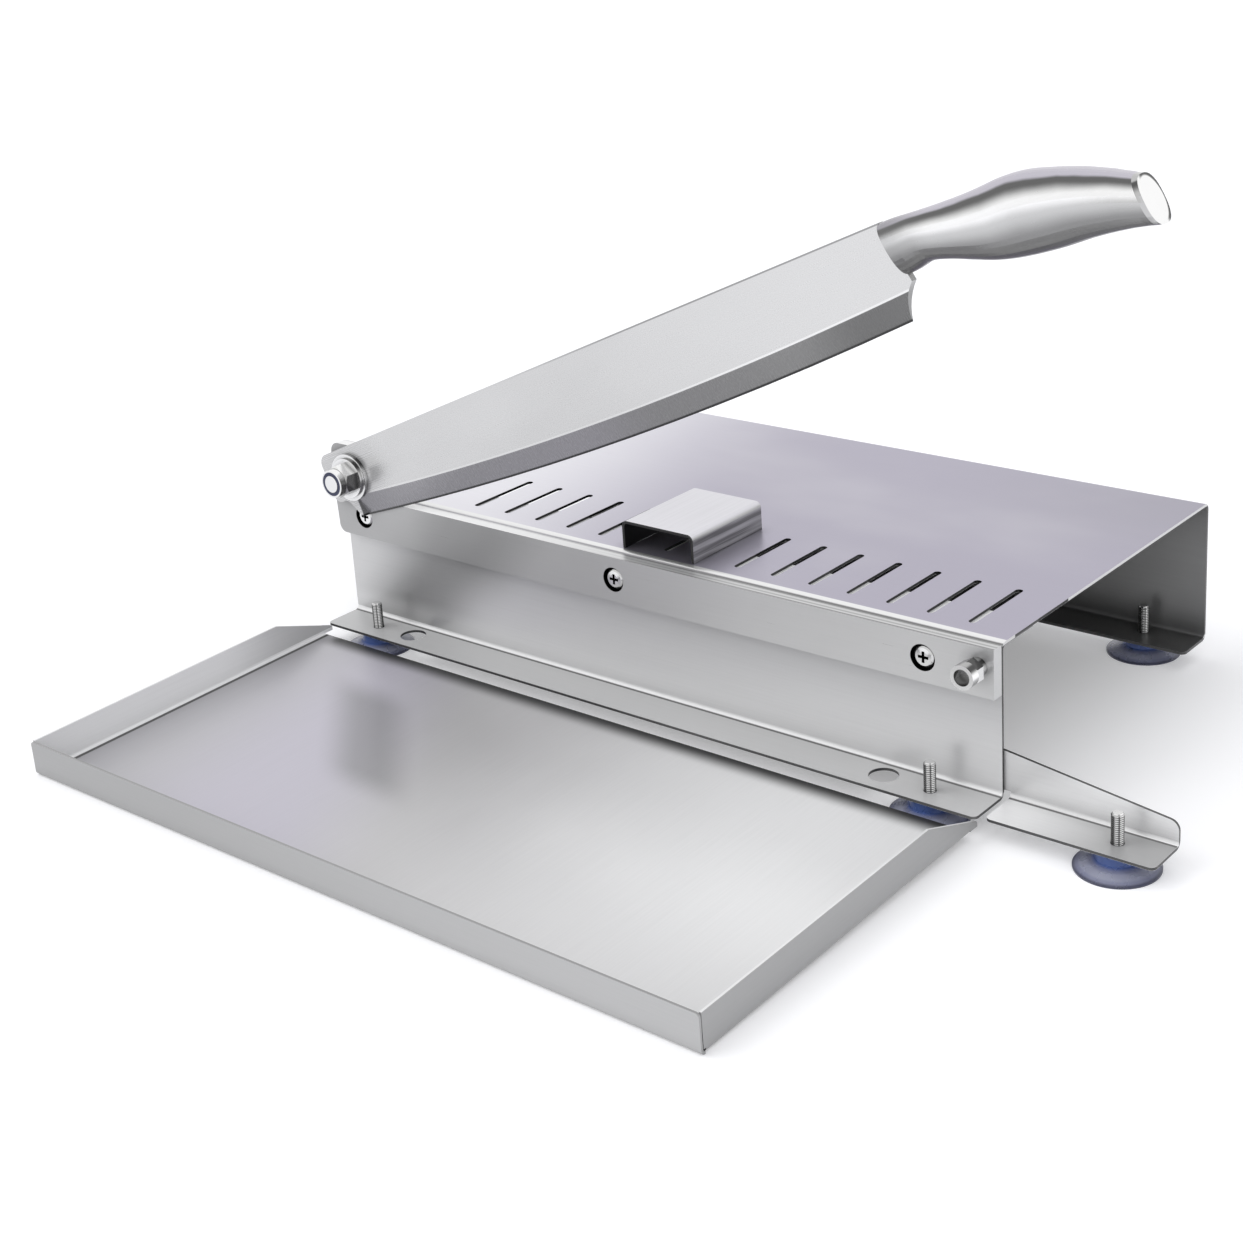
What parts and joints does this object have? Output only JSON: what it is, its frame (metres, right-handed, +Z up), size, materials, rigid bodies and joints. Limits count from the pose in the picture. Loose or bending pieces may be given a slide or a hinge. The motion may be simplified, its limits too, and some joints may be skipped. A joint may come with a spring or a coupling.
{
  "type": "manual rib cutter",
  "caption": "Benchtop hand cutter with a long hinged blade over a slotted steel table, suction feet, a side outrigger, a loose catch tray and a lift-out length stop.",
  "frame": {"origin": "on the bench, under the middle of the box round the whole cutter with its blade raised as in the picture", "axes": "+X along the shear bar from the pivot to the handle, +Y from the catch tray to the rear wall, +Z up from the bench"},
  "size_m": [0.534, 0.4598, 0.3161],
  "materials": {
    "sheet": "brushed stainless sheet",
    "bar": "ground stainless bar",
    "blade": "fine ground stainless with a darker ground bevel",
    "handle": "satin cast stainless",
    "cap": "polished stainless",
    "fastener": "bright stainless fasteners",
    "locking_ring": "dark blue nylon",
    "cup": "soft translucent blue vinyl",
    "stop_block": "brushed stainless sheet"
  },
  "bodies": {
    "base": {"table": "sheet", "backing_angle": "sheet", "outrigger": "sheet", "fixed_bar": "bar", "bar_screws": "fastener", "bar_screw_washers": "fastener", "bar_screw_nuts": "fastener", "pivot_bolt": "fastener", "pivot_head_washer": "fastener", "pivot_washer": "fastener", "pivot_disc_spring": "fastener", "pivot_nut": "fastener", "pivot_nut_insert": "locking_ring", "stop_stud": "fastener", "stop_sleeve": "fastener", "stop_nut": "fastener", "cup_front_left": "cup", "cup_front_right": "cup", "cup_rear_left": "cup", "cup_rear_right": "cup", "cup_outrigger": "cup", "stud_front_left": "fastener", "stud_front_right": "fastener", "stud_rear_left": "fastener", "stud_rear_right": "fastener", "stud_outrigger": "fastener"},
    "blade_arm": {"blade": "blade", "handle": "handle", "handle_end_cap": "cap"},
    "tray": {"tray": "sheet"},
    "length_stop": {"length_stop": "stop_block"}
  },
  "joints": [
    {"name": "blade_hinge", "type": "hinge", "parent": "base", "child": "blade_arm", "pos_m": [-0.24185, -0.00802, 0.1027], "axis": [0, -1, 0], "range_deg": [-24.1, 70]},
    {"name": "tray_slide", "type": "slide", "parent": "base", "child": "tray", "axis": [0, -1, 0], "range_m": [0, 0.25]},
    {"name": "length_stop_lift", "type": "slide", "parent": "base", "child": "length_stop", "axis": [0, 0, 1], "range_m": [0, 0.06]}
  ]
}
